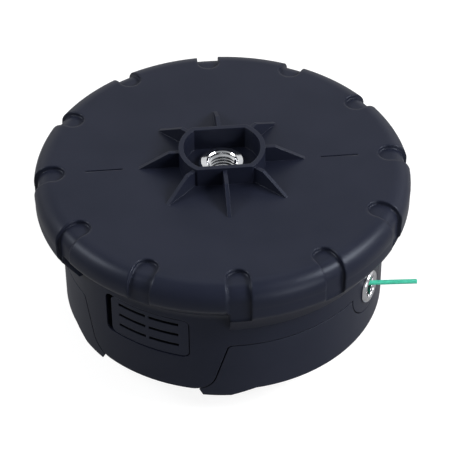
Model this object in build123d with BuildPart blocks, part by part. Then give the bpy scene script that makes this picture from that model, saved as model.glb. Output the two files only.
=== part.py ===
from build123d import *
import os
from math import atan, cos, degrees, radians, sin, sqrt, tan

os.makedirs("parts", exist_ok=True)

# Bump feed head for a line trimmer, standing on its bump knob, in millimetres.
# Z is the drive axis and Z = 0 the ground face of the knob. X runs along the two marks on the top face.

# Driving heights, from the ground up
knob_reach = 10.0              # knob below the lowest toe of the cover
toe_drop = 2.5                 # toes of the cover below the housing arms
body_depth = 53.5              # top face down to the foot of the arms
split_drop = 32.4              # top face down to the seam between housing and cover
bump_travel = 6.0              # how far the knob is pressed in

# Upper housing: flange, rim, aprons and wall
flange_radius = 65.0
rim_fillet = 6.3
wall_radius = 56.5
skin = 2.8                     # moulded wall of the housing
rim_corner_drop = 9.6          # corner of rim and blend, over an arm
blend_corner_drop = 18.1       # corner of blend and wall, over an arm
blend_fillet = 5.0
apron_inset = 0.1              # apron behind the edge of the rim
apron_rim_drop = 12.8          # the rim hangs lower along the aprons
apron_foot_radius = 58.0
apron_foot_drop = 23.6
apron_rim_fillet = 2.5
apron_foot_fillet = 0.6
apron_half_angle = 60.4
apron_end_angle = 2.5
arm_azimuth = -122.5           # middle of the front arm, a second one is opposite
pocket_count = 12
pocket_width = 7.8
pocket_end_radius = 58.0       # centre of the round inner end
pocket_depth = 1.4
pocket_run = 14.0              # pocket from the top face down the rim
mark_start = 34.0
mark_end = 47.0
mark_width = 0.6
mark_depth = 0.35

# Collar round the drive socket, with its gussets
collar_length = 29.7           # across the round ends
collar_flats = 23.0            # across the flats
collar_wall = 1.7
collar_rise = 7.1
socket_sink = 1.5              # socket floor below the top face
gusset_count = 8
gusset_rise = 6.1
gusset_shoulder = 18.3         # radius where the level top ends
gusset_foot = 28.7
gusset_width = 1.4

# Drive nut, moulded in
nut_radius = 7.9
nut_rise = 1.0                 # nut above the top face
nut_length = 21.0
nut_bore_radius = 4.33         # core of an M10 x 1.25 thread
nut_mouth_radius = 5.2
nut_edge = 0.7
nut_groove_depth = 0.8
nut_groove_width = 3.0

# Arms of the housing and the windows for the release tabs
arm_half_width = 27.6          # at the seam
arm_slant = 14.8               # lean of the arm's sides, degrees
arm_foot_fillet = 8.0
arm_neck_fillet = 2.0
window_left = -16.3            # along the wall from the middle of the arm
window_right = 15.7
window_top_drop = 22.0
window_bottom_drop = 39.0
window_fillet = 2.5
tab_left_gap = 2.3
seam = 0.4                     # gap between housing and cover
boss_drop = 33.0               # middle of the round boss that holds an eyelet
boss_radius = 10.5

# Eyelets and the cutting line
eyelet_drop = 34.0
eyelet_width = 10.0
eyelet_height = 12.4
eyelet_rim = 2.3               # from the hole to the outer edge of the flange
eyelet_lip = 1.2               # flange in front of the wall
eyelet_edge = 0.7
eyelet_barrel_wall = 0.9
eyelet_tail = 0.6              # barrel inside the wall
line_radius = 0.83
line_drop = 32.9
line_free_length = 17.7        # from the middle of the eyelet to the cut end
line_bend_inset = 3.2          # from the middle of the eyelet in to the bend
line_azimuth = -3.0            # direction of the free end
line_bend = 6.0

# Lower cover
floor_skin = 2.4
floor_lift = 0.5               # floor above the foot of the arms
toe_length = 17.0
toe_flat = 3.0
latch_wall = 2.2
latch_half_width = 12.5
latch_gap = 0.5                # latch behind the housing wall
floor_step = 0.3               # floor behind the latches
ear_lap = 0.5                  # ears over the edge of the floor
latch_flex = 3.5               # free room for pressing a tab in
tab_recess = 0.2
grip_rows = 3
grip_pitch = 4.65
grip_height = 1.2
grip_length = 10.7
grip_spacing = 11.9
grip_depth = 1.0
grip_top_drop = 24.7
boss_wall = 2.5
boss_reach = 6.0               # guide boss below the floor
rib_count = 6
rib_width = 2.0
rib_end_radius = 47.0
rib_reach = 4.2                # ribs below the floor, at the guide boss

# Bump knob
knob_radius = 21.5
knob_face_radius = 14.0
knob_dome = 7.0                # height of the rounded lower edge
knob_wall = 3.2
knob_flange = 3.0              # flange beyond the knob's side
knob_flange_thickness = 2.3
stem_length = 20.0             # above the flange
stem_end_fillet = 1.5

# Spool, spring and index lugs
run_gap = 0.4                  # radial room of what slides or turns
seat_gap = 0.3
hub_wall = 2.0
stem_radius = 8.6
hub_end_lift = 6.0             # end of the hub above the knob's flange
spool_skin = 2.0
spool_well = 20.0              # room for line between the flanges
drum_radius = 24.0
drum_wall = 2.0
wound_radius = 36.0
wound_turns = 8
index_count = 6
index_radius = 44.5
index_width = 5.0
lug_angle = 12.0
dog_angle = 10.0
lug_height = 3.1
lug_overlap = 2.1              # lugs behind the dogs, seen from the side
lug_clear = 1.0
lower_lug_lead = 12.0          # lugs ahead of the dogs at rest, degrees
upper_lug_lead = 18.0
washer_thickness = 1.0
spring_wire_radius = 0.9
spring_turns = 5.5

# Heights that follow
foot_height = knob_reach + toe_drop
face_height = foot_height + body_depth
ceiling_height = face_height - skin
split_height = face_height - split_drop
floor_height = foot_height + floor_lift
floor_top = floor_height + floor_skin
knob_flange_height = floor_top + seat_gap
knob_top = knob_flange_height + knob_flange_thickness
spool_seat = knob_top + seat_gap
stem_top = knob_top + stem_length
nut_top = face_height + nut_rise
nut_bottom = nut_top - nut_length
hub_end = knob_top + hub_end_lift
lower_dog_top = floor_top + lug_height + lug_overlap - lug_clear + seat_gap
spool_bottom = lower_dog_top + lug_clear
well_bottom = spool_bottom + spool_skin
well_top = well_bottom + spool_well
spool_top = well_top + spool_skin
upper_dog_bottom = spool_top + lug_height + bump_travel - lug_overlap

# Radii that follow
inner_radius = wall_radius - skin
hub_bore_radius = stem_radius + run_gap
hub_radius = hub_bore_radius + hub_wall
spool_bore_radius = hub_radius + run_gap
spool_tube_radius = spool_bore_radius + drum_wall
spring_radius = (spool_tube_radius + drum_radius - drum_wall) / 2
latch_radius = inner_radius - latch_gap
spool_radius = latch_radius - latch_wall - latch_flex
floor_radius = latch_radius - floor_step
ear_inner_radius = floor_radius - ear_lap
guide_radius = knob_radius + run_gap
guide_outer_radius = guide_radius + boss_wall
apron_radius = flange_radius - apron_inset
ear_azimuth = arm_azimuth + 90


def radial_plane(azimuth):
    """Upright plane through the axis: its x is the radius, its y the height."""
    a = radians(azimuth)
    return Plane(origin=(0, 0, 0), x_dir=(cos(a), sin(a), 0), z_dir=(sin(a), -cos(a), 0))


def facing_plane(azimuth):
    """Upright plane through the axis that faces outwards: its x runs along the wall, its y is the height."""
    a = radians(azimuth)
    return Plane(origin=(0, 0, 0), x_dir=(-sin(a), cos(a), 0), z_dir=(cos(a), sin(a), 0))


def skirt_corners(rim_radius, inset, rim_drop, foot_radius, foot_drop):
    """Corners of a skirt's slope from the rim to its foot, moved inwards by a wall thickness."""
    slope = atan((rim_radius - foot_radius) / (foot_drop - rim_drop))
    lift = inset * tan(slope / 2)
    rim = (rim_radius - inset, face_height - rim_drop + lift)
    foot = (foot_radius - inset, face_height - foot_drop + lift)
    return rim, foot


def round_corners(section, corners):
    """Fillets the corners of a drawn outline, each given by its place and radius."""
    for place, radius in corners:
        fillet(section.vertices().sort_by_distance(place)[0], radius)


def housing_skin():
    """Section of the housing over an arm: flat top, rounded rim, a smooth blend and the wall."""
    edge = (flange_radius, face_height)
    inner_edge = (flange_radius - skin, ceiling_height)
    rim, blend = skirt_corners(flange_radius, 0, rim_corner_drop, wall_radius, blend_corner_drop)
    inner_rim, inner_blend = skirt_corners(
        flange_radius, skin, rim_corner_drop, wall_radius, blend_corner_drop)
    with BuildSketch(Plane.XZ) as section:
        with BuildLine():
            Polyline(
                (0, face_height), edge, rim, blend, (wall_radius, foot_height), (inner_radius, foot_height),
                inner_blend, inner_rim, inner_edge, (0, ceiling_height), close=True)
        make_face()
        round_corners(section, (
            (edge, rim_fillet), (rim, blend_fillet), (blend, blend_fillet), (inner_edge, rim_fillet - skin),
            (inner_rim, blend_fillet - skin), (inner_blend, blend_fillet + skin)))
    return section.sketch


def apron_body(azimuth):
    """Section of an apron, from the middle of the housing's skin to its own outer face."""
    rim, foot = skirt_corners(apron_radius, 0, apron_rim_drop, apron_foot_radius, apron_foot_drop)
    back_rim, back_blend = skirt_corners(
        flange_radius, skin / 2, rim_corner_drop, wall_radius, blend_corner_drop)
    crown = face_height - rim_fillet - apron_inset
    with BuildSketch(radial_plane(azimuth)) as section:
        with BuildLine():
            Polyline(
                (back_blend[0], foot[1]), foot, rim, (apron_radius, crown), (back_rim[0], crown),
                back_rim, back_blend, close=True)
        make_face()
        round_corners(section, ((rim, apron_rim_fillet), (foot, apron_foot_fillet)))
    return section.sketch


def apron_hollow(azimuth):
    """Section of the room inside an apron, open to the inside of the housing."""
    rim, slope = skirt_corners(apron_radius, skin, apron_rim_drop, apron_foot_radius, apron_foot_drop)
    lean = (rim[0] - slope[0]) / (rim[1] - slope[1])
    back = inner_radius - skin / 2
    crown = face_height - rim_fillet - skin / 4
    with BuildSketch(radial_plane(azimuth)) as section:
        with BuildLine():
            Polyline((back, crown), (rim[0], crown), rim, (back, rim[1] - (rim[0] - back) / lean), close=True)
        make_face()
    return section.sketch


def arm_side(height, grow):
    """Distance of an arm's side from its middle at a height, with the outline grown by a gap."""
    lean = radians(arm_slant)
    return arm_half_width - (split_height - height) * tan(lean) + grow / cos(lean)


def arm_outline(grow):
    """Arm seen from the front: slanted sides and round lower corners, grown by a gap."""
    crown = split_height + skin
    foot = foot_height - grow
    half_foot = arm_side(foot, grow)
    half_crown = arm_side(crown, grow)
    with BuildSketch(facing_plane(arm_azimuth)) as outline:
        with BuildLine():
            Polyline(
                (-half_foot, foot), (half_foot, foot), (half_crown, crown), (-half_crown, crown), close=True)
        make_face()
        round_corners(outline, (
            ((half_foot, foot), arm_foot_fillet + grow), ((-half_foot, foot), arm_foot_fillet + grow)))
    return outline.sketch


def wall_ring(radius, depth, height):
    """Section of a round wall, lying at a height."""
    with BuildSketch(Plane.XY.offset(height)) as section:
        Circle(radius)
        Circle(radius - depth, mode=Mode.SUBTRACT)
    return section.sketch


def boss_outline(grow):
    """Round boss of an eyelet, seen from the front, with the outline grown by a gap."""
    with BuildSketch(facing_plane(ear_azimuth)) as outline:
        with Locations((0, face_height - boss_drop)):
            Circle(boss_radius + grow)
    return outline.sketch


def ear_block(inner, outer, low, grow):
    """Wall below the seam, between the arms and round the bosses of the housing, less a gap all round."""
    top = split_height - grow
    with BuildPart() as block:
        extrude(wall_ring(outer, outer - inner, low), amount=top - low)
        extrude(arm_outline(grow), amount=2 * outer, both=True, mode=Mode.SUBTRACT)
        extrude(boss_outline(grow), amount=2 * outer, both=True, mode=Mode.SUBTRACT)
        for front in (facing_plane(arm_azimuth), facing_plane(arm_azimuth + 180)):
            for side in (-arm_side(top, grow), arm_side(top, grow)):
                neck = front.from_local_coords((side, top, sqrt(wall_radius ** 2 - side ** 2)))
                straight_edges = block.edges().filter_by(GeomType.LINE)
                fillet(straight_edges.sort_by_distance(neck)[0], arm_neck_fillet - grow)
    return block.part


def double_d(length, flats):
    """Round outline with two flats, across the drive axis."""
    Circle(length / 2)
    Rectangle(length, flats, mode=Mode.INTERSECT)


def index_ring(lead, angle, low, high):
    """Ring of equal sector blocks between two heights, the first one centred ahead of X by the lead."""
    for k in range(index_count):
        with BuildSketch(radial_plane(lead + k * 360 / index_count - angle / 2)) as block:
            with Locations((index_radius - index_width / 2, (low + high) / 2)):
                Rectangle(index_width, high - low)
        revolve(block.sketch, axis=Axis.Z, revolution_arc=angle)


# Rim pocket: a slot with a round end that follows the rim at an even depth
with BuildPart() as pocket:
    reach = flange_radius - pocket_end_radius
    with BuildSketch(Plane.XY.offset(face_height - pocket_run)):
        with Locations((pocket_end_radius + reach, 0)):
            SlotCenterToCenter(2 * reach, pocket_width)
    extrude(amount=pocket_run + pocket_depth)
    with BuildSketch(Plane.XZ):
        with BuildLine():
            floor_line = FilletPolyline(
                (0, face_height - pocket_depth),
                (flange_radius - pocket_depth, face_height - pocket_depth),
                (flange_radius - pocket_depth, face_height - pocket_run),
                radius=rim_fillet - pocket_depth)
            Line(floor_line @ 1, (0, face_height - pocket_run))
            Line((0, face_height - pocket_run), floor_line @ 0)
        make_face()
    revolve(axis=Axis.Z, mode=Mode.SUBTRACT)

# Room for the ears of the cover in the housing's wall
ear_room = ear_block(inner_radius - skin, wall_radius + skin, knob_reach, 0)

# Upper housing
with BuildPart() as upper_housing:
    # Skin with the aprons, where the rim hangs lower between the arms
    revolve(housing_skin(), axis=Axis.Z)
    for side in (ear_azimuth, ear_azimuth + 180):
        revolve(apron_body(side - apron_half_angle), axis=Axis.Z, revolution_arc=2 * apron_half_angle)
    for side in (ear_azimuth, ear_azimuth + 180):
        hollow_half_angle = apron_half_angle - apron_end_angle
        revolve(
            apron_hollow(side - hollow_half_angle), axis=Axis.Z, revolution_arc=2 * hollow_half_angle,
            mode=Mode.SUBTRACT)
    add(ear_room, mode=Mode.SUBTRACT)
    # Windows for the release tabs and holes for the eyelets
    window_middle = (window_left + window_right) / 2
    window_height = face_height - (window_top_drop + window_bottom_drop) / 2
    for turn in (0, 180):
        with BuildSketch(facing_plane(arm_azimuth + turn).offset(spool_radius)) as window:
            with Locations((window_middle, window_height)):
                Rectangle(window_right - window_left, window_bottom_drop - window_top_drop)
            fillet(window.vertices(), window_fillet)
        extrude(amount=flange_radius, mode=Mode.SUBTRACT)
        with BuildSketch(facing_plane(ear_azimuth + turn).offset(spool_radius)):
            with Locations((0, face_height - eyelet_drop)):
                SlotOverall(
                    eyelet_height - 2 * (eyelet_rim - eyelet_barrel_wall),
                    eyelet_width - 2 * (eyelet_rim - eyelet_barrel_wall), rotation=90)
        extrude(amount=flange_radius, mode=Mode.SUBTRACT)
    # Pockets round the rim
    with PolarLocations(0, pocket_count):
        add(pocket.part, mode=Mode.SUBTRACT)
    # Marks on the top face
    with BuildSketch(Plane.XY.offset(face_height)):
        with PolarLocations((mark_start + mark_end) / 2, 2):
            SlotOverall(mark_end - mark_start, mark_width)
    extrude(amount=-mark_depth, mode=Mode.SUBTRACT)
    # Hub that carries the nut and guides the spool and the knob
    with BuildSketch(Plane.XY.offset(hub_end)):
        Circle(hub_radius)
    extrude(amount=ceiling_height + skin / 2 - hub_end)
    # Upper index dogs under the ceiling
    index_ring(0, dog_angle, upper_dog_bottom, ceiling_height + skin / 2)
    # Collar with its gussets
    with BuildSketch(Plane.XY.offset(face_height - skin / 2)):
        double_d(collar_length, collar_flats)
    extrude(amount=collar_rise + skin / 2)
    for k in range(gusset_count):
        with BuildSketch(radial_plane(k * 360 / gusset_count)):
            with BuildLine():
                Polyline(
                    (0, face_height - skin / 2), (gusset_foot, face_height - skin / 2),
                    (gusset_foot, face_height), (gusset_shoulder, face_height + gusset_rise),
                    (0, face_height + gusset_rise), close=True)
            make_face()
        extrude(amount=gusset_width / 2, both=True)
    with BuildSketch(Plane.XY.offset(face_height - socket_sink)):
        double_d(collar_length - 2 * collar_wall, collar_flats - 2 * collar_wall)
    extrude(amount=socket_sink + collar_rise, mode=Mode.SUBTRACT)
    # Seat of the nut and bore for the knob's stem
    with BuildSketch(Plane.XY.offset(nut_bottom)):
        Circle(nut_radius)
    extrude(amount=nut_length, mode=Mode.SUBTRACT)
    with BuildSketch(Plane.XY.offset(hub_end)):
        Circle(hub_bore_radius)
    extrude(amount=nut_bottom - hub_end, mode=Mode.SUBTRACT)

upper_housing.part.label = "upper_housing"
export_step(upper_housing.part, "parts/upper_housing.step")

# Arbor nut: round steel insert with a groove that locks it in the moulding
with BuildPart() as arbor_nut:
    with BuildSketch(Plane.XY.offset(nut_bottom)):
        Circle(nut_radius)
    extrude(amount=nut_length)
    chamfer(arbor_nut.edges().filter_by(GeomType.CIRCLE), nut_edge)
    with BuildSketch(Plane.XY.offset(nut_bottom + (nut_length - nut_groove_width) / 2)):
        Circle(nut_radius)
        Circle(nut_radius - nut_groove_depth, mode=Mode.SUBTRACT)
    extrude(amount=nut_groove_width, mode=Mode.SUBTRACT)
    with Locations((0, 0, nut_top)):
        CounterSinkHole(nut_bore_radius, nut_mouth_radius, counter_sink_angle=90)

arbor_nut.part.label = "arbor_nut"
export_step(arbor_nut.part, "parts/arbor_nut.step")

# Line eyelets: oval steel bushes with a rounded flange in front of the wall
for place, turn in (("front", 0), ("rear", 180)):
    with BuildPart() as eyelet:
        with BuildSketch(facing_plane(ear_azimuth + turn).offset(wall_radius)):
            with Locations((0, face_height - eyelet_drop)):
                SlotOverall(eyelet_height, eyelet_width, rotation=90)
        extrude(amount=eyelet_lip)
        fillet(eyelet.edges().group_by(SortBy.DISTANCE)[-1], eyelet_edge)
        with BuildSketch(facing_plane(ear_azimuth + turn).offset(inner_radius - eyelet_tail)):
            with Locations((0, face_height - eyelet_drop)):
                SlotOverall(
                    eyelet_height - 2 * (eyelet_rim - eyelet_barrel_wall),
                    eyelet_width - 2 * (eyelet_rim - eyelet_barrel_wall), rotation=90)
        extrude(amount=skin + eyelet_tail + eyelet_lip / 2)
        with BuildSketch(facing_plane(ear_azimuth + turn).offset(inner_radius - eyelet_tail)):
            with Locations((0, face_height - eyelet_drop)):
                SlotOverall(eyelet_height - 2 * eyelet_rim, eyelet_width - 2 * eyelet_rim, rotation=90)
        extrude(amount=skin + eyelet_tail + eyelet_lip, mode=Mode.SUBTRACT)
    eyelet.part.label = f"line_eyelet_{place}"
    export_step(eyelet.part, f"parts/line_eyelet_{place}.step")

# Line ends: from the wound line through an eyelet to the cut end
barrel_length = eyelet_tail + skin + eyelet_lip
tangent_radius = wound_radius + line_radius + seat_gap
for place, turn in (("front", 0), ("rear", 180)):
    middle = Vector(wall_radius + eyelet_lip - barrel_length / 2, 0, face_height - line_drop)
    middle = middle.rotate(Axis.Z, ear_azimuth + turn)
    outwards = Vector(1, 0, 0).rotate(Axis.Z, line_azimuth + turn)
    bend = middle - outwards * line_bend_inset
    tip = middle + outwards * line_free_length
    bend_radius = sqrt(bend.X ** 2 + bend.Y ** 2)
    run = sqrt(bend_radius ** 2 - tangent_radius ** 2)
    inwards = Vector(-bend.X, -bend.Y, 0).normalized().rotate(Axis.Z, degrees(atan(tangent_radius / run)))
    start = bend + inwards * run
    with BuildPart() as line_end:
        with BuildLine() as route:
            FilletPolyline(start, bend, tip, radius=line_bend)
        with BuildSketch(Plane(origin=start, z_dir=bend - start)):
            Circle(line_radius)
        sweep(path=route.line)
    line_end.part.label = f"line_end_{place}"
    export_step(line_end.part, f"parts/line_end_{place}.step")

# Ears of the cover: they carry on the housing's wall, with lower toes beside the arms
with BuildPart() as ears:
    add(ear_block(ear_inner_radius, wall_radius, knob_reach, seam))
    toe_start = arm_side(foot_height, seam) - arm_foot_fillet / 2
    toe_end = toe_start + toe_length
    below = knob_reach - toe_drop
    with BuildSketch(facing_plane(arm_azimuth)):
        with BuildLine():
            Polyline(
                (-toe_start, foot_height), (toe_start, foot_height), (toe_start + toe_drop, below),
                (-toe_start - toe_drop, below), close=True)
        make_face()
        with BuildLine():
            Polyline(
                (toe_start + toe_flat, below), (toe_end, foot_height), (2 * wall_radius, foot_height),
                (2 * wall_radius, below), close=True)
        make_face()
        with BuildLine():
            Polyline(
                (-toe_start - toe_flat, below), (-toe_end, foot_height), (-2 * wall_radius, foot_height),
                (-2 * wall_radius, below), close=True)
        make_face()
    extrude(amount=2 * wall_radius, both=True, mode=Mode.SUBTRACT)

# Latches: upright springs behind the arms, each with a release tab that fills its window
tab_left = window_left + tab_left_gap
tab_right = window_right - seam
tab_top = face_height - window_top_drop - seam
tab_bottom = face_height - window_bottom_drop + seam
with BuildPart() as latches:
    latch_foot = floor_height + floor_skin / 2
    extrude(wall_ring(latch_radius, latch_wall, latch_foot), amount=tab_top - seam - latch_foot)
    with BuildSketch(facing_plane(arm_azimuth)):
        with Locations((0, face_height / 2)):
            Rectangle(2 * latch_half_width, face_height)
    extrude(amount=2 * wall_radius, both=True, mode=Mode.INTERSECT)

with BuildPart() as tab:
    tab_depth = wall_radius - tab_recess - latch_radius + latch_wall / 2
    extrude(wall_ring(wall_radius - tab_recess, tab_depth, tab_bottom), amount=tab_top - tab_bottom)
    with BuildSketch(facing_plane(arm_azimuth)) as pad:
        with Locations(((tab_left + tab_right) / 2, (tab_bottom + tab_top) / 2)):
            Rectangle(tab_right - tab_left, tab_top - tab_bottom)
        fillet(pad.vertices(), window_fillet - seam)
    extrude(amount=2 * wall_radius, mode=Mode.INTERSECT)
    with BuildSketch(facing_plane(arm_azimuth).offset(wall_radius / 2)):
        grip_middle = face_height - grip_top_drop - (grip_rows - 1) * grip_pitch / 2
        with Locations(((tab_left + tab_right) / 2, grip_middle)):
            with GridLocations(grip_spacing, grip_pitch, 2, grip_rows):
                Rectangle(grip_length, grip_height)
    grips = extrude(amount=wall_radius, mode=Mode.PRIVATE)
    with BuildSketch(Plane.XY.offset(tab_bottom)):
        Circle(wall_radius - tab_recess - grip_depth)
    core = extrude(amount=tab_top - tab_bottom, mode=Mode.PRIVATE)
    add(grips - core, mode=Mode.SUBTRACT)

# Lower cover: floor, ears, latches, knob guide and index dogs
with BuildPart() as lower_cover:
    with BuildSketch(Plane.XY.offset(floor_height)):
        Circle(floor_radius)
    extrude(amount=floor_skin)
    add(ears.part)
    add(latches.part)
    with PolarLocations(0, 2):
        add(tab.part)
    index_ring(0, dog_angle, floor_top - floor_skin / 2, lower_dog_top)
    with BuildSketch(Plane.XY.offset(floor_height - boss_reach)):
        Circle(guide_outer_radius)
    extrude(amount=boss_reach + floor_skin / 2)
    for k in range(rib_count):
        with BuildSketch(radial_plane(arm_azimuth + (k + 0.5) * 360 / rib_count)):
            with BuildLine():
                Polyline(
                    (guide_radius, floor_height - rib_reach), (guide_outer_radius, floor_height - rib_reach),
                    (rib_end_radius, floor_height), (rib_end_radius, floor_top - floor_skin / 2),
                    (guide_radius, floor_top - floor_skin / 2), close=True)
            make_face()
        extrude(amount=rib_width / 2, both=True)
    with BuildSketch(Plane.XY.offset(floor_height - boss_reach)):
        Circle(guide_radius)
    extrude(amount=boss_reach + floor_skin, mode=Mode.SUBTRACT)

lower_cover.part.label = "lower_cover"
export_step(lower_cover.part, "parts/lower_cover.step")

# Bump knob: cup with a domed face, a flange inside the cover and a stem that slides in the hub
with BuildPart() as bump_knob:
    with BuildSketch(Plane.XZ):
        with BuildLine():
            Line((0, 0), (knob_face_radius, 0))
            dome = EllipticalCenterArc(
                (knob_face_radius, knob_dome), knob_radius - knob_face_radius, knob_dome,
                start_angle=270, arc_size=90)
            Polyline(
                dome @ 1, (knob_radius, knob_flange_height), (knob_radius + knob_flange, knob_flange_height),
                (knob_radius + knob_flange, knob_top), (knob_radius - knob_wall, knob_top),
                (knob_radius - knob_wall, knob_dome), (knob_face_radius, knob_wall), (stem_radius, knob_wall),
                (stem_radius, stem_top), (0, stem_top), (0, 0))
        make_face()
    revolve(axis=Axis.Z)
    fillet(bump_knob.edges().filter_by(GeomType.CIRCLE).sort_by(Axis.Z)[-1], stem_end_fillet)

bump_knob.part.label = "bump_knob"
export_step(bump_knob.part, "parts/bump_knob.step")

# Spool: one deep well for line, a foot on the knob's flange, a spring well inside the drum, index lugs
with BuildPart() as spool:
    foot_radius = knob_radius + knob_flange
    with BuildSketch(Plane.XZ):
        with BuildLine():
            Polyline(
                (spool_bore_radius, spool_seat + spool_skin), (knob_radius - knob_wall, spool_seat + spool_skin),
                (knob_radius - knob_wall, spool_seat), (foot_radius, spool_seat), (foot_radius, spool_bottom),
                (spool_radius, spool_bottom), (spool_radius, well_bottom), (drum_radius, well_bottom),
                (drum_radius, well_top), (spool_radius, well_top), (spool_radius, spool_top),
                (drum_radius - drum_wall, spool_top), (drum_radius - drum_wall, well_bottom),
                (spool_tube_radius, well_bottom), (spool_tube_radius, spool_top),
                (spool_bore_radius, spool_top), close=True)
        make_face()
    revolve(axis=Axis.Z)
    index_ring(lower_lug_lead, lug_angle, spool_bottom - lug_height, spool_bottom + spool_skin / 2)
    index_ring(upper_lug_lead, lug_angle, spool_top - spool_skin / 2, spool_top + lug_height)

spool.part.label = "spool"
export_step(spool.part, "parts/spool.step")

# Wound line: the turns as one ring with a ridge for each outer turn
with BuildPart() as wound_line:
    turn_pitch = (spool_well - 2 * seat_gap) / wound_turns
    wound_bottom = well_bottom + seat_gap
    with BuildSketch(Plane.XZ):
        with BuildLine():
            inner = Polyline(
                (wound_radius - turn_pitch / 2, wound_bottom), (drum_radius, wound_bottom),
                (drum_radius, well_top - seat_gap), (wound_radius - turn_pitch / 2, well_top - seat_gap))
            for k in range(wound_turns):
                low = wound_bottom + k * turn_pitch
                ThreePointArc(
                    (wound_radius - turn_pitch / 2, low), (wound_radius, low + turn_pitch / 2),
                    (wound_radius - turn_pitch / 2, low + turn_pitch))
        make_face()
    revolve(axis=Axis.Z)

wound_line.part.label = "wound_line"
export_step(wound_line.part, "parts/wound_line.step")

# Spring washer: the seat of the feed spring in the spool
with BuildPart() as spring_washer:
    with BuildSketch(Plane.XY.offset(well_bottom)):
        Circle(drum_radius - drum_wall - run_gap)
        Circle(spool_tube_radius + run_gap, mode=Mode.SUBTRACT)
    extrude(amount=washer_thickness)

spring_washer.part.label = "spring_washer"
export_step(spring_washer.part, "parts/spring_washer.step")

# Feed spring between the washer and the ceiling of the housing
with BuildPart() as feed_spring:
    spring_bottom = well_bottom + washer_thickness + spring_wire_radius
    spring_height = ceiling_height - spring_wire_radius - spring_bottom
    with BuildLine(Plane.XY.offset(spring_bottom)) as coil:
        Helix(pitch=spring_height / spring_turns, height=spring_height, radius=spring_radius)
    with BuildSketch(Plane(origin=coil.line @ 0, z_dir=coil.line % 0)):
        Circle(spring_wire_radius)
    sweep(path=coil.line, is_frenet=True)

feed_spring.part.label = "feed_spring"
export_step(feed_spring.part, "parts/feed_spring.step")
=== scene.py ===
# %% [markdown]
# # A bump feed trimmer head
# The head comes in as finished CAD solids, one object for each moulded or turned piece.
# This lesson dresses them: it gives each piece the finish of the real one, cuts a true thread
# into the drive nut, winds real turns of line, and lights it all like a small product photograph.

import math

import bmesh
import bpy
from mathutils import Matrix, Vector


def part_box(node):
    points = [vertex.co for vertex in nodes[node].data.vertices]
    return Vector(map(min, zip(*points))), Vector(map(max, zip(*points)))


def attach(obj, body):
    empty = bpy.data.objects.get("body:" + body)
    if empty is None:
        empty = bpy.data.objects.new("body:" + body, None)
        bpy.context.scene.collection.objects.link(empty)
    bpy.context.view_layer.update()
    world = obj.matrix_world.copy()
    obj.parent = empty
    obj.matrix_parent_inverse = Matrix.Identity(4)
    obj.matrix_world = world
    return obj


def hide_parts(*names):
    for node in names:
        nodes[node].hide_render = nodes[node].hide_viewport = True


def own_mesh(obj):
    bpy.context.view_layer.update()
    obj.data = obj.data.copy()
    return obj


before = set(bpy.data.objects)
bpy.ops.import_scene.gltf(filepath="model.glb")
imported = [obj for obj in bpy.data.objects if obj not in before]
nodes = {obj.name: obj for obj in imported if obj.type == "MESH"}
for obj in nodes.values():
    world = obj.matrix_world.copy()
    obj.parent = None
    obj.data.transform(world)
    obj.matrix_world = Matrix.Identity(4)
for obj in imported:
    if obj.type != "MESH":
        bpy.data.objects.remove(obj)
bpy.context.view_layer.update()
scene = bpy.context.scene
scene.view_settings.view_transform = "Standard"
MM = 0.001
print("pieces:", ", ".join(sorted(nodes)))

# %% [markdown]
# ## Where the camera stands
# The twelve rim pockets are evenly spaced, so their places in a picture tell where the camera was.
# It looks down on the head from the front. Two angles and a distance give its place, counted from the
# middle of the top face, and a small roll tilts the picture.

# %% Directions of the camera
CAMERA_DISTANCE = 706.7 * MM
CAMERA_ELEVATION = math.radians(39.68)
CAMERA_AZIMUTH = math.radians(-94.56)
CAMERA_ROLL = math.radians(0.70)
TOP_FACE_HEIGHT = 66.0 * MM


def direction(azimuth, elevation):
    """The unit vector that points there from the head."""
    return Vector((
        math.cos(elevation) * math.cos(azimuth),
        math.cos(elevation) * math.sin(azimuth),
        math.sin(elevation)))


top_middle = Vector((0.0, 0.0, TOP_FACE_HEIGHT))
back = direction(CAMERA_AZIMUTH, CAMERA_ELEVATION)
level_right = Vector((0.0, 0.0, 1.0)).cross(back).normalized()
level_up = back.cross(level_right)
right = level_right * math.cos(CAMERA_ROLL) - level_up * math.sin(CAMERA_ROLL)
up = level_right * math.sin(CAMERA_ROLL) + level_up * math.cos(CAMERA_ROLL)
camera_place = top_middle + back * CAMERA_DISTANCE
print("camera at, in mm:", [round(part / MM) for part in camera_place])

# %% [markdown]
# ## Lens and aim
# The lens is long, so the back of the rim looks only a little smaller than the front. The top face isn't
# in the middle of the picture, and turning the camera by two small slopes brings it to its pixel. A
# camera in Blender looks along its own -Z, so the three columns of its matrix are its right, its up and
# the way back from the object.

# %% Camera
IMAGE_SIDE = 450.0                    # picture, in pixels
FOCAL_PIXELS = 2056.5                 # focal length, in pixels
TOP_FACE_PIXEL = (222.1, 162.9)       # where the middle of the top face is seen
SENSOR_WIDTH = 36.0                   # in millimetres, as Blender's lenses are
NEAREST, FARTHEST = 0.05, 20.0        # what the camera draws, in metres

slope_right = (IMAGE_SIDE / 2 - TOP_FACE_PIXEL[0]) / FOCAL_PIXELS
slope_down = (IMAGE_SIDE / 2 - TOP_FACE_PIXEL[1]) / FOCAL_PIXELS
aim_back = (back - right * slope_right + up * slope_down).normalized()
aim_right = up.cross(aim_back).normalized()
aim_up = aim_back.cross(aim_right)

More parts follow.
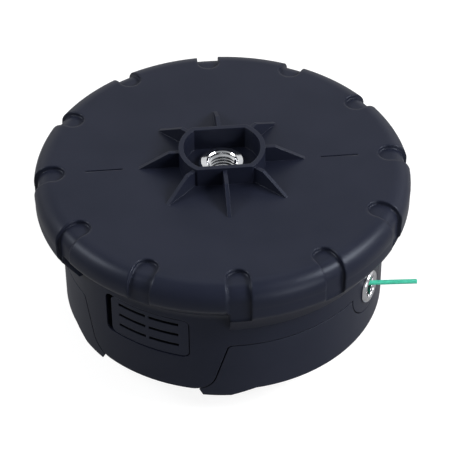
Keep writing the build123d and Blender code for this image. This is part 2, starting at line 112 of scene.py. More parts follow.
camera_data = bpy.data.cameras.new("product_camera")
camera_data.sensor_width = SENSOR_WIDTH
camera_data.lens = FOCAL_PIXELS / IMAGE_SIDE * SENSOR_WIDTH
camera_data.clip_start = NEAREST
camera_data.clip_end = FARTHEST
camera = bpy.data.objects.new("product_camera", camera_data)
scene.collection.objects.link(camera)
camera.matrix_world = Matrix.Translation(camera_place) @ Matrix(
    (aim_right, aim_up, aim_back)).transposed().to_4x4()
scene.camera = camera
print("lens:", round(camera_data.lens, 1), "mm")

# %% [markdown]
# ## Building node trees from a script
# Materials, the world and Geometry Nodes are all trees of nodes, so one helper can build them all. It
# adds a node, sets its options, and fills each input with a value or, where it is given another node's
# output, with a link. Two more helpers wrap the nodes that are needed most, Math and Map Range.

# %% Node helpers
def add_node(tree, kind, inputs, **options):
    """Adds a node; inputs maps a socket's name or number to a value or another node's output."""
    node = tree.nodes.new(kind)
    for option, setting in options.items():
        setattr(node, option, setting)
    for socket, value in inputs.items():
        if isinstance(value, bpy.types.NodeSocket):
            tree.links.new(value, node.inputs[socket])
        else:
            node.inputs[socket].default_value = value
    return node


def calculate(tree, operation, *numbers):
    """One Math node on numbers or outputs."""
    node = add_node(tree, "ShaderNodeMath", dict(enumerate(numbers)), operation=operation)
    return node.outputs["Value"]


def ramp(tree, value, span, ends=(0.0, 1.0), **options):
    """Runs from one end to the other while a value crosses a span."""
    node = add_node(tree, "ShaderNodeMapRange", {
        "Value": value, "From Min": span[0], "From Max": span[1],
        "To Min": ends[0], "To Max": ends[1]}, **options)
    return node.outputs["Result"]


print("node helpers: add_node, calculate, ramp")

# %% [markdown]
# ## A small kit for finishes
# Every finish here starts from a Principled shader and the piece's own Object coordinates, which are
# metres in the head's frame. One noise runs its colour and its roughness between two ends. Most values
# of a noise lie near its middle, so only that part is spread over the range. Another pattern may become
# fine relief.

# %% Finish helpers
COLOUR_SPREAD = (0.35, 0.65)          # values of a noise that the colours are spread over
GLOSS_SPREAD = (0.3, 0.7)             # and those for the roughness


def start_finish(name):
    """A new material, its tree, its Principled shader and its Object coordinates."""
    material = bpy.data.materials.new(name)
    material.use_nodes = True
    tree = material.node_tree
    place = add_node(tree, "ShaderNodeTexCoord", {}).outputs["Object"]
    return material, tree, tree.nodes["Principled BSDF"], place


def add_noise(tree, place, scale, detail):
    """Noise over the piece; scale is the number of features in a metre."""
    noise = add_node(tree, "ShaderNodeTexNoise", {"Vector": place, "Scale": scale, "Detail": detail})
    return noise.outputs["Fac"]


def mottle(tree, shader, noise, colours, gloss):
    """Runs the colour and the roughness between two ends over a noise."""
    blend = add_node(tree, "ShaderNodeValToRGB", {"Fac": noise})
    for stop, position, colour in zip(blend.color_ramp.elements, COLOUR_SPREAD, colours):
        stop.position = position
        stop.color = (*colour, 1.0)
    tree.links.new(blend.outputs["Color"], shader.inputs["Base Color"])
    tree.links.new(ramp(tree, noise, GLOSS_SPREAD, gloss), shader.inputs["Roughness"])


def add_relief(tree, shader, height, depth, under=None):
    """Turns a height pattern into fine relief; under is the normal it sits on."""
    inputs = {"Height": height, "Distance": depth}
    if under is not None:
        inputs["Normal"] = under
    bump = add_node(tree, "ShaderNodeBump", inputs)
    tree.links.new(bump.outputs["Normal"], shader.inputs["Normal"])


def dress(piece, material):
    """Gives a piece one finish all over."""
    piece.data.materials.clear()
    piece.data.materials.append(material)


print("finish helpers: start_finish, add_noise, mottle, add_relief, dress")

# %% [markdown]
# ## Moulded plastic
# The housing, cover, knob and spool are nylon: nearly black with a touch of blue, and satin because the
# mould is lightly etched. The etch is finer than half a millimetre, so it is relief in the material. A
# broad noise makes the gloss slightly uneven, which stops large faces looking flat. A mould leaves no
# edge quite sharp, and the Bevel node gives the CAD's sharp edges rounded normals.

# %% Moulded plastic
ETCH = (2600.0, 3.0)                  # scale and detail of the etched grain
ETCH_DEPTH = 0.012 * MM
FLOW = (55.0, 4.0)                    # scale and detail of the uneven gloss
SHINE = 0.18                          # an etched face mirrors less than a polished one
SHINE_TINT = (0.80, 0.87, 1.0, 1.0)
CRISP_EDGE = 0.3 * MM                 # rounding of gussets, tabs and seams
INNER_EDGE = 0.8 * MM                 # rounding of the pieces inside
EDGE_SAMPLES = 8


def moulded_plastic(name, colours, gloss, edge):
    material, tree, shader, place = start_finish(name)
    mottle(tree, shader, add_noise(tree, place, *FLOW), colours, gloss)
    shader.inputs["Specular IOR Level"].default_value = SHINE
    shader.inputs["Specular Tint"].default_value = SHINE_TINT
    rounded = add_node(tree, "ShaderNodeBevel", {"Radius": edge}, samples=EDGE_SAMPLES)
    grain = add_noise(tree, place, *ETCH)
    add_relief(tree, shader, grain, ETCH_DEPTH, under=rounded.outputs["Normal"])
    return material


housing_plastic = moulded_plastic(
    "housing_plastic", ((0.0088, 0.0106, 0.0205), (0.0110, 0.0128, 0.0236)), (0.33, 0.40), CRISP_EDGE)
cover_plastic = moulded_plastic(
    "cover_plastic", ((0.0112, 0.0132, 0.0236), (0.0138, 0.0158, 0.0272)), (0.36, 0.43), CRISP_EDGE)
knob_plastic = moulded_plastic(
    "knob_plastic", ((0.0130, 0.0135, 0.0165), (0.0180, 0.0185, 0.0215)), (0.45, 0.56), INNER_EDGE)
spool_plastic = moulded_plastic(
    "spool_plastic", ((0.0300, 0.0310, 0.0340), (0.0360, 0.0370, 0.0400)), (0.42, 0.50), INNER_EDGE)
dress(nodes["upper_housing"], housing_plastic)
dress(nodes["lower_cover"], cover_plastic)
dress(nodes["bump_knob"], knob_plastic)
dress(nodes["spool"], spool_plastic)
print("plastic finishes: housing, cover, knob, spool")

# %% [markdown]
# ## Softer pockets
# The pockets in the rim are rounded much more than the thin gussets or the seams. One Bevel node can do
# both, because its radius may change from place to place. A point is in the rim if it is far enough from
# the axis and above the walls, so the mask is a rule on Object coordinates. It fades in, which leaves no
# step.

# %% Rim pockets
POCKET_EDGE = 1.3 * MM
RIM_RADII = (42.0 * MM, 48.0 * MM)    # the mask fades in here, away from the axis
RIM_HEIGHTS = (44.0 * MM, 48.0 * MM)  # and here, upwards


def axis_distance(tree, place):
    """How far a point of the surface is from the head's axis."""
    flat = add_node(tree, "ShaderNodeVectorMath", {0: place, 1: (1.0, 1.0, 0.0)}, operation="MULTIPLY")
    length = add_node(tree, "ShaderNodeVectorMath", {0: flat.outputs["Vector"]}, operation="LENGTH")
    return length.outputs["Value"]


def height_above_ground(tree, place):
    return add_node(tree, "ShaderNodeSeparateXYZ", {"Vector": place}).outputs["Z"]


def round_pockets(material):
    """Rounds the edges in the rim more than those of the walls and gussets."""
    tree = material.node_tree
    place = tree.nodes["Texture Coordinate"].outputs["Object"]
    outside = ramp(tree, axis_distance(tree, place), RIM_RADII)
    above = ramp(tree, height_above_ground(tree, place), RIM_HEIGHTS)
    in_rim = calculate(tree, "MULTIPLY", outside, above)
    edge = ramp(tree, in_rim, (0.0, 1.0), (CRISP_EDGE, POCKET_EDGE))
    tree.links.new(edge, tree.nodes["Bevel"].inputs["Radius"])


round_pockets(housing_plastic)
print("edges rounded by", CRISP_EDGE / MM, "mm, in the rim by", POCKET_EDGE / MM, "mm")

# %% [markdown]
# ## Grip slots
# Each release tab has two columns of narrow grip slots. On the real tab they are deep, so hardly any light
# comes out of them again. That shade is painted: a darker colour laid over the plastic by a Mix node. The
# rule for the mask of this painted shade: a point of the cover that lies behind the tab's face, at the
# height of the tabs, is in a slot or a seam.

# %% Grip slots
TAB_FACE = 56.3 * MM                  # face of the tab, from the axis
TAB_HEIGHTS = (27.4 * MM, 43.6 * MM)
# painted shade of the grip slots and seams: where it starts and is full, and its colour
SLOT_SHADE_START, SLOT_SHADE_FULL = 0.10 * MM, 0.35 * MM  # how far behind the face the dark starts and is full
SLOT_PAINTED_SHADE = (0.0020, 0.0022, 0.0030, 1.0)
MIX_UNDER, MIX_OVER, MIX_RESULT = 6, 7, 2  # the colour sockets of a Mix node


def paint_slot_shade(material):
    """Lays painted shade, a dark colour, over what lies behind the tab's face."""
    tree = material.node_tree
    shader = tree.nodes["Principled BSDF"]
    place = tree.nodes["Texture Coordinate"].outputs["Object"]
    behind = ramp(tree, axis_distance(tree, place), (TAB_FACE - SLOT_SHADE_START, TAB_FACE - SLOT_SHADE_FULL))
    at_tab = calculate(
        tree, "COMPARE", height_above_ground(tree, place),
        sum(TAB_HEIGHTS) / 2, (TAB_HEIGHTS[1] - TAB_HEIGHTS[0]) / 2)
    # the painted shade is mixed over the plastic's own colour in the slots and seams
    layers = add_node(tree, "ShaderNodeMix", {
        "Factor": calculate(tree, "MULTIPLY", behind, at_tab),
        MIX_UNDER: shader.inputs["Base Color"].links[0].from_socket,
        MIX_OVER: SLOT_PAINTED_SHADE}, data_type="RGBA")
    tree.links.new(layers.outputs[MIX_RESULT], shader.inputs["Base Color"])


paint_slot_shade(cover_plastic)
print("grip slots: dark behind r", round(TAB_FACE / MM, 1), "mm")

# %% [markdown]
# ## Turned steel
# The nut is turned on a lathe and plated. It is a metal, so its colour is the colour of what it mirrors,
# and light wear shows as uneven gloss. The tool leaves fine rings round the axis: a sine of the distance
# from the axis, as relief of less than a thousandth of a millimetre.

# %% Turned steel
RING_PITCH = 0.16 * MM                # feed of the turning tool
RING_DEPTH = 0.0006 * MM
PLATING_WEAR = (420.0, 4.0)           # scale and detail


def turned_steel(name, colours, gloss):
    material, tree, shader, place = start_finish(name)
    phase = calculate(tree, "MULTIPLY", axis_distance(tree, place), math.tau / RING_PITCH)
    rings = calculate(tree, "SINE", phase)
    mottle(tree, shader, add_noise(tree, place, *PLATING_WEAR), colours, gloss)
    shader.inputs["Metallic"].default_value = 1.0
    add_relief(tree, shader, rings, RING_DEPTH)
    return material


nut_steel = turned_steel("nut_steel", ((0.72, 0.73, 0.75), (0.86, 0.87, 0.89)), (0.07, 0.11))
print("turned steel:", round(RING_PITCH / MM, 2), "mm between rings")

# %% [markdown]
# ## Pressed and drawn steel
# The eyelets are pressed and polished, and the spring is drawn wire. Neither has rings, so their pattern
# sits in the colour and the gloss alone. The spring's washer gets the same finish as the spring.

# %% Pressed and drawn steel
STEEL_WEAR = (700.0, 5.0)             # scale and detail


def drawn_steel(name, colours, gloss):
    material, tree, shader, place = start_finish(name)
    mottle(tree, shader, add_noise(tree, place, *STEEL_WEAR), colours, gloss)
    shader.inputs["Metallic"].default_value = 1.0
    return material


eyelet_steel = drawn_steel("eyelet_steel", ((0.57, 0.57, 0.60), (0.66, 0.66, 0.69)), (0.10, 0.20))
spring_steel = drawn_steel("spring_steel", ((0.46, 0.46, 0.46), (0.62, 0.62, 0.62)), (0.22, 0.36))
dress(nodes["spring_washer"], spring_steel)
print("steel finishes: eyelets, spring and washer")

# %% [markdown]
# ## Cutting line
# Nylon line is dyed through and slightly clear, so a little light scatters inside it, which the
# Principled shader calls subsurface. A faint mottle keeps the colour from looking painted on.

# %% Cutting line finish
LINE_MOTTLE = (900.0, 2.0)            # scale and detail
LINE_SCATTER = 0.15
LINE_SCATTER_REACH = (0.3 * MM, 1.0 * MM, 0.7 * MM)


def dyed_nylon(name, colours, gloss):
    material, tree, shader, place = start_finish(name)
    mottle(tree, shader, add_noise(tree, place, *LINE_MOTTLE), colours, gloss)
    shader.inputs["Subsurface Weight"].default_value = LINE_SCATTER
    shader.inputs["Subsurface Radius"].default_value = LINE_SCATTER_REACH
    return material


line_nylon = dyed_nylon("line_nylon", ((0.055, 0.520, 0.340), (0.070, 0.580, 0.400)), (0.28, 0.40))
for name in ("line_end_front", "line_end_rear"):
    dress(nodes[name], line_nylon)
print("line finish on both free ends")

# %% [markdown]
# ## A small kit for Geometry Nodes
# What winds or follows a path is made by a node tree. Each tree has named inputs for its sizes and ends
# alike: Realize Instances makes real geometry and Set Material gives it its finish. An empty object runs
# the tree once, and the result is kept as a plain mesh.

# %% Tree helpers
def start_tree(name, sizes):
    """A tree with an input for each size; returns it, what its inputs give and their identifiers."""
    tree = bpy.data.node_groups.new(name, "GeometryNodeTree")
    identifiers = {}
    for label, value in sizes.items():
        kind = "NodeSocketVector" if isinstance(value, tuple) else "NodeSocketFloat"
        socket = tree.interface.new_socket(label, in_out="INPUT", socket_type=kind)
        socket.default_value = value
        identifiers[label] = socket.identifier
    finish = tree.interface.new_socket("Finish", in_out="INPUT", socket_type="NodeSocketMaterial")
    identifiers["Finish"] = finish.identifier
    tree.interface.new_socket("Piece", in_out="OUTPUT", socket_type="NodeSocketGeometry")
    return tree, tree.nodes.new("NodeGroupInput").outputs, identifiers


def end_tree(tree, geometry, finish):
    """Real geometry, one finish, out."""
    real = add_node(tree, "GeometryNodeRealizeInstances", {"Geometry": geometry})
    dressed = add_node(
        tree, "GeometryNodeSetMaterial", {"Geometry": real.outputs["Geometry"], "Material": finish})
    add_node(tree, "NodeGroupOutput", {"Piece": dressed.outputs["Geometry"]})


def grow(name, recipe, values):
    """Runs a tree on an empty object and returns its result as a plain mesh object."""
    tree, identifiers = recipe
    holder = bpy.data.objects.new(name + "_holder", bpy.data.meshes.new(name + "_holder"))
    scene.collection.objects.link(holder)
    modifier = holder.modifiers.new(name, "NODES")
    modifier.node_group = tree
    for label, value in values.items():
        modifier[identifiers[label]] = value
    bpy.context.view_layer.update()
    mesh = bpy.data.meshes.new_from_object(
        holder.evaluated_get(bpy.context.evaluated_depsgraph_get()))
    mesh.name = name
    bpy.data.objects.remove(holder)
    piece = bpy.data.objects.new(name, mesh)
    scene.collection.objects.link(piece)
    return piece


print("tree helpers: start_tree, end_tree, grow")

# %% [markdown]
# ## A tree for everything that winds
# A thread, a layer of line and a spring are one idea: a small section swept up a helix. A Spiral curve with
# equal radii is the helix, a Curve Circle with few or many points is the section, and Curve to Mesh sweeps
# it. A section that has to keep one corner towards the axis needs upright normals on its path.

# %% Coil tree
def coil_tree(name, steps, corners, upright):
    """A section with so many corners, swept up a helix with so many steps in a turn."""
    tree, given, identifiers = start_tree(name, {
        "Radius": 10.0 * MM, "Section": 1.0 * MM, "Bottom": 0.0, "Length": 20.0 * MM, "Turns": 10.0})
    helix = add_node(tree, "GeometryNodeCurveSpiral", {
        "Resolution": steps, "Rotations": given["Turns"], "Height": given["Length"],
        "Start Radius": given["Radius"], "End Radius": given["Radius"]})
    path = helix.outputs["Curve"]
    if upright:
        path = add_node(tree, "GeometryNodeSetCurveNormal", {"Curve": path}, mode="Z_UP").outputs["Curve"]
    section = add_node(tree, "GeometryNodeCurvePrimitiveCircle", {
        "Resolution": corners, "Radius": given["Section"]})
    sweep = add_node(tree, "GeometryNodeCurveToMesh", {
        "Curve": path, "Profile Curve": section.outputs["Curve"], "Fill Caps": True})
    bottom = add_node(tree, "ShaderNodeCombineXYZ", {"Z": given["Bottom"]})
    lifted = add_node(tree, "GeometryNodeTransform", {
        "Geometry": sweep.outputs["Mesh"], "Translation": bottom.outputs["Vector"]})
    end_tree(tree, lifted.outputs["Geometry"], given["Finish"])
    return tree, identifiers


thread_ridge = coil_tree("thread_ridge", steps=48, corners=3, upright=True)
line_layer = coil_tree("line_layer", steps=72, corners=12, upright=False)
print("coil trees:", thread_ridge[0].name, "and", line_layer[0].name)

# %% [markdown]
# ## The thread in the nut
# The CAD nut has a plain bore at the core of the thread. A real thread is a V-shaped ridge that winds up
# the bore, so its section is a triangle: one corner towards the axis, two in the wall. This thread is
# left-handed, as on many trimmers, and so is a Spiral curve that isn't reversed. On such a curve the
# upright normal points to the axis, which turns the first corner of the triangle inward.

# %% Thread
THREAD_PITCH = 1.25 * MM
THREAD_CORE = 4.33 * MM
THREAD_OUTER = 5.0 * MM
RIDGE_INSET = 0.06 * MM               # middle of the ridge's section, inside the wide bore
THREAD_RUN_OUT = 0.9 * MM             # the thread starts this far inside both faces

nut_low, nut_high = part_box("arbor_nut")
ridge_length = nut_high[2] - nut_low[2] - 2 * THREAD_RUN_OUT
ridge = grow("nut_thread", thread_ridge, {
    "Radius": THREAD_OUTER - RIDGE_INSET, "Section": THREAD_OUTER - THREAD_CORE,
    "Bottom": nut_low[2] + THREAD_RUN_OUT, "Length": ridge_length,
    "Turns": ridge_length / THREAD_PITCH, "Finish": nut_steel})
ridge_reach = [math.hypot(v.co.x, v.co.y) / MM for v in ridge.data.vertices]
print("thread from r", round(min(ridge_reach), 2), "to", round(max(ridge_reach), 2), "mm,",
      len(ridge.data.polygons), "faces")

# %% [markdown]
# ## Turning on a lathe
# A turned piece is its outline spun round the axis, one ring of points for each step. Smooth shading
# hides the steps, and an edge that turns by more than a set angle is marked sharp and stays crisp.

# %% Turning helpers
SPIN_STEPS = 128


def turned_piece(name, outline):
    """Spins a closed outline of (radius, height) points round Z."""
    mesh = bpy.data.meshes.new(name)
    work = bmesh.new()
    rings = []
    for step in range(SPIN_STEPS):
        angle = math.tau * step / SPIN_STEPS
        rings.append([
            work.verts.new((r * math.cos(angle), r * math.sin(angle), z)) for r, z in outline])
    for step in range(SPIN_STEPS):
        near, far = rings[step], rings[(step + 1) % SPIN_STEPS]
        for k in range(len(outline)):
            after = (k + 1) % len(outline)
            work.faces.new((near[k], far[k], far[after], near[after]))
    bmesh.ops.recalc_face_normals(work, faces=work.faces)
    work.to_mesh(mesh)
    work.free()
    piece = bpy.data.objects.new(name, mesh)
    scene.collection.objects.link(piece)
    return piece


def smooth(piece, sharp_from):
    """Shades a piece smooth, apart from edges that turn by more than an angle in degrees."""
    piece.data.shade_smooth()
    piece.data.set_sharp_from_angle(angle=math.radians(sharp_from))


print("turning helpers:", SPIN_STEPS, "steps round")

# %% [markdown]
# ## The nut's body
# The ridge needs a bore as wide as the thread's outside to stand in, so the nut's body is turned again.
# The outline below runs round the outside with its locking groove, over the top face with a small bevel
# at the mouth, and down the wide bore.

# %% Nut body
NUT_EDGE = 0.7 * MM
NUT_MOUTH = 5.35 * MM
NUT_GROOVE = 0.8 * MM
NUT_GROOVE_WIDTH = 3.0 * MM
NUT_SHARP = 30.0                      # degrees

bottom, top, outside = nut_low[2], nut_high[2], nut_high[0]
groove_low = (bottom + top) / 2 - NUT_GROOVE_WIDTH / 2
groove_high = (bottom + top) / 2 + NUT_GROOVE_WIDTH / 2
nut_body = turned_piece("arbor_nut_body", (
    (THREAD_OUTER, bottom), (outside - NUT_EDGE, bottom), (outside, bottom + NUT_EDGE),
    (outside, groove_low), (outside - NUT_GROOVE, groove_low),
    (outside - NUT_GROOVE, groove_high), (outside, groove_high),
    (outside, top - NUT_EDGE), (outside - NUT_EDGE, top),
    (NUT_MOUTH, top), (THREAD_OUTER, top - (NUT_MOUTH - THREAD_OUTER))))
dress(nut_body, nut_steel)
for piece in (nut_body, ridge):
    smooth(piece, NUT_SHARP)
    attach(piece, "housing")
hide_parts("arbor_nut")
print("nut:", len(nut_body.data.polygons), "faces in the body")

# %% [markdown]
# ## The rim of an eyelet
# A pressed eyelet is a tube whose edge is rolled outward, so its rim is round like half a ring. Rim and
# tube follow the same kind of path, an upright oval: a rectangle with fully rounded corners. The rim is a
# round section whose back half is pressed flat on the wall by Set Position.

# %% Eyelet rim
OVAL_STEPS = 14                       # in each rounded corner
RIM_STEPS = 20                        # round the rim's section


def oval_sweep(tree, width, height, section):
    """Sweeps a section along an upright oval, drawn in the XY plane."""
    outline = add_node(tree, "GeometryNodeCurvePrimitiveQuadrilateral", {
        "Width": width, "Height": height})
    rounded = add_node(tree, "GeometryNodeFilletCurve", {
        "Curve": outline.outputs["Curve"], "Radius": width,
        "Count": OVAL_STEPS, "Limit Radius": True}, mode="POLY")
    upright = add_node(
        tree, "GeometryNodeSetCurveNormal", {"Curve": rounded.outputs["Curve"]}, mode="Z_UP")
    sweep = add_node(tree, "GeometryNodeCurveToMesh", {
        "Curve": upright.outputs["Curve"], "Profile Curve": section.outputs["Curve"]})
    return sweep.outputs["Mesh"]


def rolled_rim(tree, width, height, rim):
    """The rim, its back pressed flat on the XY plane."""
    ring = add_node(tree, "GeometryNodeCurvePrimitiveCircle", {
        "Resolution": RIM_STEPS, "Radius": calculate(tree, "MULTIPLY", rim, 0.5)})
    rolled = oval_sweep(
        tree, calculate(tree, "SUBTRACT", width, rim), calculate(tree, "SUBTRACT", height, rim), ring)
    where = add_node(tree, "GeometryNodeInputPosition", {}).outputs["Position"]
    parts = add_node(tree, "ShaderNodeSeparateXYZ", {"Vector": where}).outputs
    flat = add_node(tree, "ShaderNodeCombineXYZ", {
        "X": parts["X"], "Y": parts["Y"], "Z": calculate(tree, "MAXIMUM", parts["Z"], 0.0)})
    pressed = add_node(tree, "GeometryNodeSetPosition", {
        "Geometry": rolled, "Position": flat.outputs["Vector"]})
    return pressed.outputs["Geometry"]


print("eyelet rim:", RIM_STEPS, "steps round its section")

# %% [markdown]
# ## The whole eyelet
# The tube is a thin strip that starts at the hole and runs back through the wall. The tree joins it to
# the rim, stands both upright and sets them on the wall.

# %% Eyelet tree
EYELET_WIDTH, EYELET_HEIGHT = 10.0 * MM, 12.4 * MM
EYELET_RIM = 2.3 * MM                 # width of the rolled rim
EYELET_TUBE = 0.8 * MM                # wall of the tube
EYELET_DEPTH = 3.4 * MM               # tube behind the rim


def short_tube(tree, width, height, rim, depth):
    """The tube, inside the rim and behind the XY plane."""
    strip = add_node(tree, "GeometryNodeCurvePrimitiveQuadrilateral", {
        "Width": EYELET_TUBE, "Height": depth})
    hole_width = calculate(tree, "MULTIPLY_ADD", rim, -2.0, width)
    hole_height = calculate(tree, "MULTIPLY_ADD", rim, -2.0, height)
    tube = oval_sweep(
        tree, calculate(tree, "ADD", hole_width, EYELET_TUBE),
        calculate(tree, "ADD", hole_height, EYELET_TUBE), strip)
    behind = add_node(tree, "ShaderNodeCombineXYZ", {"Z": calculate(tree, "MULTIPLY", depth, -0.5)})
    moved = add_node(tree, "GeometryNodeTransform", {
        "Geometry": tube, "Translation": behind.outputs["Vector"]})
    return moved.outputs["Geometry"]


def eyelet_tree():
    """A rolled rim and a short tube on an oval path, set on the wall."""
    tree, given, identifiers = start_tree("rolled_eyelet", {
        "Width": EYELET_WIDTH, "Height": EYELET_HEIGHT, "Rim": EYELET_RIM, "Depth": EYELET_DEPTH,
        "Turn": (0.0, 0.0, 0.0), "Place": (0.0, 0.0, 0.0)})
    oval = (given["Width"], given["Height"], given["Rim"])
    both = add_node(tree, "GeometryNodeJoinGeometry", {
        "Geometry": short_tube(tree, *oval, given["Depth"])})
    tree.links.new(rolled_rim(tree, *oval), both.inputs["Geometry"])
    stand = add_node(tree, "GeometryNodeTransform", {
        "Geometry": both.outputs["Geometry"], "Rotation": given["Turn"], "Translation": given["Place"]})
    end_tree(tree, stand.outputs["Geometry"], given["Finish"])
    return tree, identifiers


rolled_eyelet = eyelet_tree()
print("eyelet tree:", len(rolled_eyelet[0].nodes), "nodes")

# %% [markdown]
# ## Two eyelets
# The rear eyelet is the front one, half a turn further round the head, so one tree makes both. Each takes
# its height from the CAD eyelet that it stands for.

# %% Eyelets
EYELET_AZIMUTHS = {"front": -32.5, "rear": 147.5}
HOUSING_WALL = 56.5 * MM              # outside of the wall, from the axis
PRESS_GAP = 0.02 * MM                 # rim in front of the wall
SWEPT_SHARP = 50.0                    # degrees

for side, azimuth in EYELET_AZIMUTHS.items():
    node = "line_eyelet_" + side
    low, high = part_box(node)
    turn = math.radians(azimuth)
    reach = HOUSING_WALL + PRESS_GAP
    eyelet = grow("rolled_eyelet_" + side, rolled_eyelet, {
        "Width": EYELET_WIDTH, "Height": EYELET_HEIGHT, "Rim": EYELET_RIM, "Depth": EYELET_DEPTH,
        "Turn": (math.pi / 2, 0.0, turn + math.pi / 2),
        "Place": (reach * math.cos(turn), reach * math.sin(turn), (low[2] + high[2]) / 2),
        "Finish": eyelet_steel})
    smooth(eyelet, SWEPT_SHARP)
    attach(eyelet, "housing")
    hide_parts(node)
    print(eyelet.name, len(eyelet.data.polygons), "faces")

# %% [markdown]
# ## Turns of line
# Inside, the CAD holds the wound line as one ridged ring. The real thing is one long line laid turn
# beside turn: the coil tree with a round section and a pitch of one line. Only the outer layer is wound,
# round a drum that stands for the layers below it.

# %% Wound line
DRUM_RADIUS = 24.0 * MM               # the spool's drum, under all the line
line_low, line_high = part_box("line_end_front")
line_radius = (line_high[2] - line_low[2]) / 2
wound_low, wound_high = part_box("wound_line")
layer_width = wound_high[2] - wound_low[2] - 2 * line_radius
layer_radius = wound_high[0] - line_radius
layer_turns = layer_width / (2 * line_radius)
outer_layer = grow("line_outer_layer", line_layer, {
    "Radius": layer_radius, "Section": line_radius, "Bottom": wound_low[2] + line_radius,
    "Length": layer_width, "Turns": layer_turns, "Finish": line_nylon})
lower_layers = turned_piece("line_lower_layers", (
    (DRUM_RADIUS, wound_low[2]), (layer_radius, wound_low[2]),
    (layer_radius, wound_high[2]), (DRUM_RADIUS, wound_high[2])))
dress(lower_layers, line_nylon)
for piece in (outer_layer, lower_layers):
    smooth(piece, SWEPT_SHARP)
    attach(piece, "spool")
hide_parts("wound_line")
print("outer layer:", round(layer_turns, 1), "turns")

# %% [markdown]
# ## The feed spring
# The spring is wound like the line, only with a wide pitch, so the same tree makes it. It sits between
# the spool and the housing's ceiling. When the knob is bumped the spool rises and the spring gets
# shorter.

# %% Feed spring
SPRING_WIRE = 0.9 * MM
SPRING_TURNS = 5.5
spring_low, spring_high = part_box("feed_spring")
spring_length = spring_high[2] - spring_low[2]
coil = grow("feed_spring_coil", line_layer, {
    "Radius": spring_high[0] - SPRING_WIRE, "Section": SPRING_WIRE,
    "Bottom": spring_low[2] + SPRING_WIRE, "Length": spring_length - 2 * SPRING_WIRE,
    "Turns": SPRING_TURNS, "Finish": spring_steel})
smooth(coil, SWEPT_SHARP)
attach(coil, "housing")
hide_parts("feed_spring")
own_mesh(coil)
print("spring:", round(spring_length / MM, 1), "mm long,", len(coil.data.polygons), "faces")

# %% [markdown]
# ## The floor
# A product photograph like this one has white paper under and behind the object. The paper is a little
# self-lit, so it stays white and still takes a soft shadow. Light Path tells the rays apart: the camera
# sees more of the glow than the metal does, and dull surfaces get none of it. From below the paper is
# clear, so the underside of the head can be looked at too.

# %% Floor
FLOOR_SIDE = 12.0
FLOOR_DROP = 0.2 * MM                 # below the ground face of the knob
PAPER_GREY = 0.24
PAPER_ROUGHNESS = 0.9
SEEN_GLOW = 0.88                      # glow that the camera sees
MIRRORED_GLOW = 0.16                  # glow that metal mirrors


def mirrored_rays(tree, rays):
    """1 for a ray that comes off a shiny or through a clear surface."""
    return calculate(tree, "MAXIMUM", rays["Is Glossy Ray"], rays["Is Transmission Ray"])


def self_lit_paper(name):
    material = bpy.data.materials.new(name)
    material.use_nodes = True
    tree = material.node_tree
    paper = tree.nodes["Principled BSDF"]
    paper.inputs["Base Color"].default_value = (PAPER_GREY, PAPER_GREY, PAPER_GREY, 1.0)
    paper.inputs["Roughness"].default_value = PAPER_ROUGHNESS
    paper.inputs["Specular IOR Level"].default_value = 0.0
    rays = add_node(tree, "ShaderNodeLightPath", {}).outputs
    mirrored_glow = calculate(tree, "MULTIPLY", mirrored_rays(tree, rays), MIRRORED_GLOW)
    strength = calculate(tree, "MULTIPLY_ADD", rays["Is Camera Ray"], SEEN_GLOW, mirrored_glow)
    glow = add_node(tree, "ShaderNodeEmission", {"Strength": strength})
    lit = add_node(tree, "ShaderNodeAddShader", {0: paper.outputs["BSDF"], 1: glow.outputs["Emission"]})
    clear = add_node(tree, "ShaderNodeBsdfTransparent", {})
    from_below = add_node(tree, "ShaderNodeNewGeometry", {}).outputs["Backfacing"]
    sheet = add_node(tree, "ShaderNodeMixShader", {
        "Fac": from_below, 1: lit.outputs["Shader"], 2: clear.outputs["BSDF"]})
    tree.links.new(sheet.outputs["Shader"], tree.nodes["Material Output"].inputs["Surface"])
    return material


half = FLOOR_SIDE / 2
floor_mesh = bpy.data.meshes.new("studio_floor")
floor_mesh.from_pydata(
    [(-half, -half, 0.0), (half, -half, 0.0), (half, half, 0.0), (-half, half, 0.0)], [], [(0, 1, 2, 3)])
floor = bpy.data.objects.new("studio_floor", floor_mesh)
scene.collection.objects.link(floor)
floor.location.z = -FLOOR_DROP
dress(floor, self_lit_paper("floor_paper"))
print("floor:", FLOOR_SIDE, "m square")

# %% [markdown]
# ## The room
# The world is three things at once. To the camera it is a plain white backdrop. To dull surfaces it is a
# weak, slightly blue room light. What shines mirrors the backdrop where a studio has it: white towards
# the back, nearly dark behind the camera, and less white towards the ceiling, where the backdrop ends.
# In a world, Generated coordinates are the direction of the ray.

# %% Room
BACKDROP_WHITE = 1.0
ROOM_LIGHT = 0.30
ROOM_TINT = (0.93, 0.96, 1.0, 1.0)
BACK_SPAN, BACK_SHARES = (-0.75, 0.15), (0.10, 0.95)      # over Y, from the front to the back
CEILING_SPAN, CEILING_SHARES = (0.45, 0.90), (1.0, 0.25)  # over Z, upwards

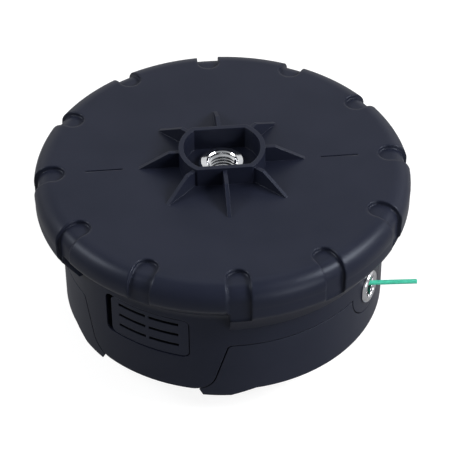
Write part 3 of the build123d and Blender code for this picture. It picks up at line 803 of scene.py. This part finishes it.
world = bpy.data.worlds.new("studio")
world.use_nodes = True
scene.world = world
room = world.node_tree
backdrop = room.nodes["Background"]
backdrop.inputs["Color"].default_value = (1.0, 1.0, 1.0, 1.0)
backdrop.inputs["Strength"].default_value = BACKDROP_WHITE
fill = add_node(room, "ShaderNodeBackground", {"Color": ROOM_TINT, "Strength": ROOM_LIGHT})
toward = add_node(room, "ShaderNodeTexCoord", {}).outputs["Generated"]
way = add_node(room, "ShaderNodeSeparateXYZ", {"Vector": toward}).outputs
back_share = ramp(room, way["Y"], BACK_SPAN, BACK_SHARES, interpolation_type="SMOOTHSTEP")
ceiling_share = ramp(room, way["Z"], CEILING_SPAN, CEILING_SHARES, interpolation_type="SMOOTHSTEP")
rays = add_node(room, "ShaderNodeLightPath", {}).outputs
mirrored_share = calculate(
    room, "MULTIPLY", mirrored_rays(room, rays), calculate(room, "MULTIPLY", back_share, ceiling_share))
choice = add_node(room, "ShaderNodeMixShader", {
    "Fac": calculate(room, "MAXIMUM", rays["Is Camera Ray"], mirrored_share),
    1: fill.outputs["Background"], 2: backdrop.outputs["Background"]})
room.links.new(choice.outputs["Shader"], room.nodes["World Output"].inputs["Surface"])
print("world: white backdrop, room light", ROOM_LIGHT)

# %% [markdown]
# ## Lamps
# Soft boxes are rectangular lamps, and what shines shows their shape. The two at the sides draw the bright
# bands along the rounded rim. A weak one above, a little behind the head, lights the top face, and a weak
# one low in front lights the walls. An area lamp shines along its own -Z, so that axis is turned towards
# the head.

# %% Lamps
def soft_box(name, azimuth, elevation, distance, size, power):
    """A rectangular lamp that faces the middle of the top face; angles in degrees."""
    way = direction(math.radians(azimuth), math.radians(elevation))
    lamp_data = bpy.data.lights.new(name, "AREA")
    lamp_data.shape = "RECTANGLE"
    lamp_data.size, lamp_data.size_y = size
    lamp_data.energy = power
    lamp = bpy.data.objects.new(name, lamp_data)
    scene.collection.objects.link(lamp)
    lamp.location = top_middle + way * distance
    lamp.rotation_mode = "QUATERNION"
    lamp.rotation_quaternion = (-way).to_track_quat("-Z", "Y")


soft_box("left_box", azimuth=178.0, elevation=36.0, distance=0.9, size=(0.30, 0.26), power=3.6)
soft_box("right_box", azimuth=-17.0, elevation=38.0, distance=0.9, size=(0.48, 0.30), power=9.0)
soft_box("top_box", azimuth=85.0, elevation=68.0, distance=1.1, size=(0.8, 0.5), power=1.4)
soft_box("front_box", azimuth=-55.0, elevation=5.0, distance=0.9, size=(0.4, 0.3), power=2.2)
